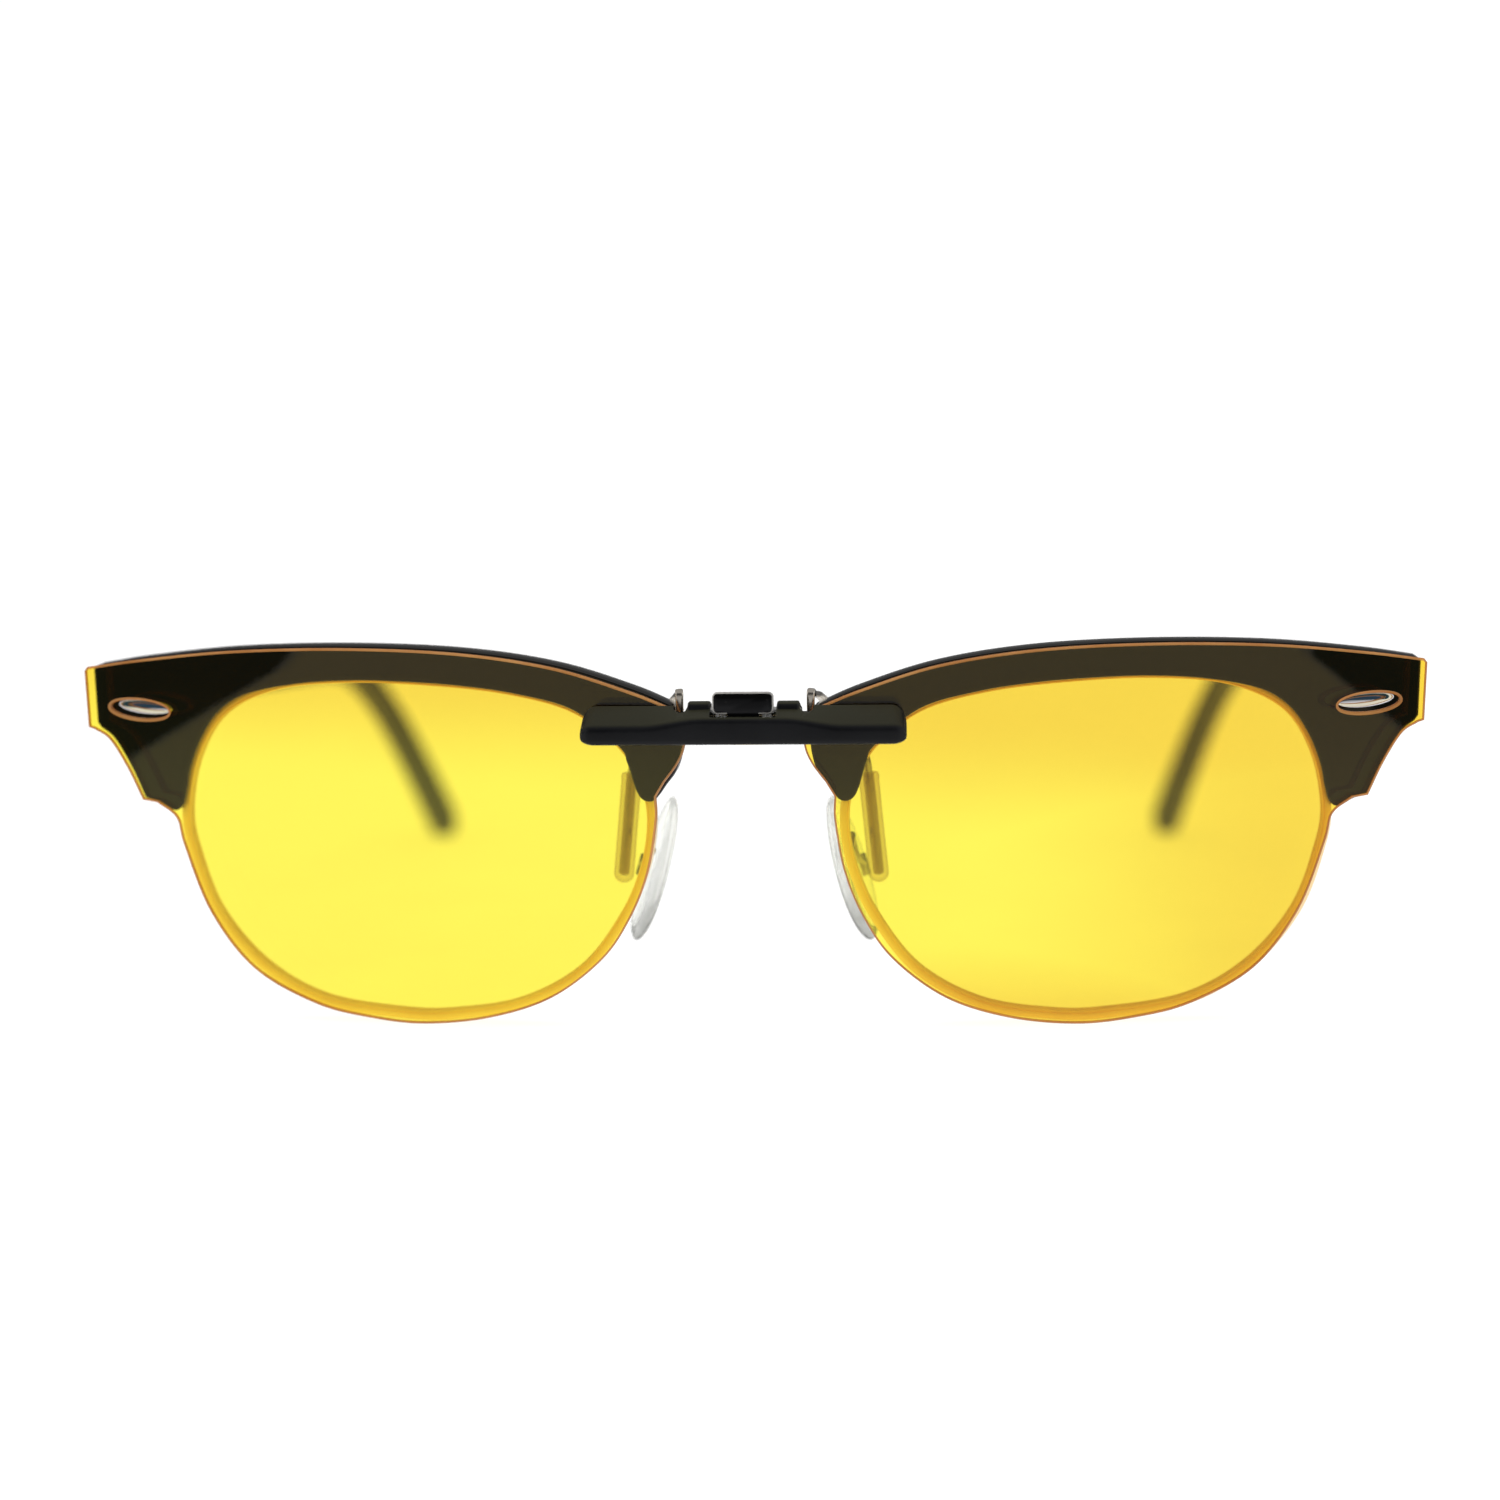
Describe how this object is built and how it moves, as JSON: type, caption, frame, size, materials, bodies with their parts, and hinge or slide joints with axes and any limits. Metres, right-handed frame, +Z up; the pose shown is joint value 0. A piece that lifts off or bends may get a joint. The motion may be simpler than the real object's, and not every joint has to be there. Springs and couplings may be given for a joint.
{
  "type": "clip on sunglasses",
  "caption": "Yellow clip-on sunglasses with a sprung centre jaw, fitted to folding browline spectacles with rocking nose pads.",
  "frame": {"origin": "on the table plane under the spectacles, in the middle of the width and of the depth with the temples open", "axes": "+X to the viewer's right, +Y from the front of the lenses to the temple tips, +Z up"},
  "size_m": [0.141, 0.1424, 0.0401],
  "materials": {
    "black_moulding": "satin",
    "yellow_lens": "gloss",
    "clear_lens": "gloss",
    "steel": "polished",
    "dark_steel": "satin",
    "gold_rim": "polished",
    "black_acetate": "gloss",
    "silicone": "satin"
  },
  "bodies": {
    "spectacle_front": {"bridge": "gold_rim", "brow_left": "black_acetate", "brow_screw_left_1": "steel", "brow_screw_left_2": "steel", "brow_plaque_left": "steel", "rim_left": "gold_rim", "spectacle_lens_left": "clear_lens", "hinge_leaf_front_left": "steel", "hinge_screw_left": "steel", "pad_arm_left": "steel", "brow_right": "black_acetate", "brow_screw_right_1": "steel", "brow_screw_right_2": "steel", "brow_plaque_right": "steel", "rim_right": "gold_rim", "spectacle_lens_right": "clear_lens", "hinge_leaf_front_right": "steel", "hinge_screw_right": "steel", "pad_arm_right": "steel"},
    "clip_on": {"clip_bar": "black_moulding", "clip_hinge_pin": "steel", "lens_plate_left": "yellow_lens", "lens_rivet_left_1": "steel", "lens_rivet_left_2": "steel", "torsion_spring_left": "steel", "lens_plate_right": "yellow_lens", "lens_rivet_right_1": "steel", "lens_rivet_right_2": "steel", "torsion_spring_right": "steel"},
    "clip_prongs": {"clip_lever": "dark_steel", "prong_arm_left": "dark_steel", "prong_sleeve_left": "silicone", "prong_arm_right": "dark_steel", "prong_sleeve_right": "silicone"},
    "temple_left": {"temple_left": "black_acetate", "hinge_leaf_temple_left": "steel"},
    "nose_pad_left": {"nose_pad_left": "silicone"},
    "temple_right": {"temple_right": "black_acetate", "hinge_leaf_temple_right": "steel"},
    "nose_pad_right": {"nose_pad_right": "silicone"}
  },
  "joints": [
    {"name": "clip_lift_off", "type": "slide", "parent": "spectacle_front", "child": "clip_on", "axis": [0, 0, 1], "range_m": [0, 0.045]},
    {"name": "clip_jaw", "type": "hinge", "parent": "clip_on", "child": "clip_prongs", "pos_m": [0, -0.0681, 0.03368], "axis": [1, 0, 0], "range_deg": [0, 20]},
    {"name": "temple_fold_left", "type": "hinge", "parent": "spectacle_front", "child": "temple_left", "pos_m": [-0.064, -0.05099, 0.03418], "axis": [0, 0, -1], "range_deg": [0, 84]},
    {"name": "temple_fold_right", "type": "hinge", "parent": "spectacle_front", "child": "temple_right", "pos_m": [0.064, -0.05099, 0.03418], "axis": [0, 0, 1], "range_deg": [0, 77]},
    {"name": "pad_rock_left", "type": "hinge", "parent": "spectacle_front", "child": "nose_pad_left", "pos_m": [-0.0106, -0.0552, 0.01528], "axis": [1, 0, 0], "range_deg": [-8, 8]},
    {"name": "pad_rock_right", "type": "hinge", "parent": "spectacle_front", "child": "nose_pad_right", "pos_m": [0.0106, -0.0552, 0.01528], "axis": [1, 0, 0], "range_deg": [-8, 8]}
  ]
}
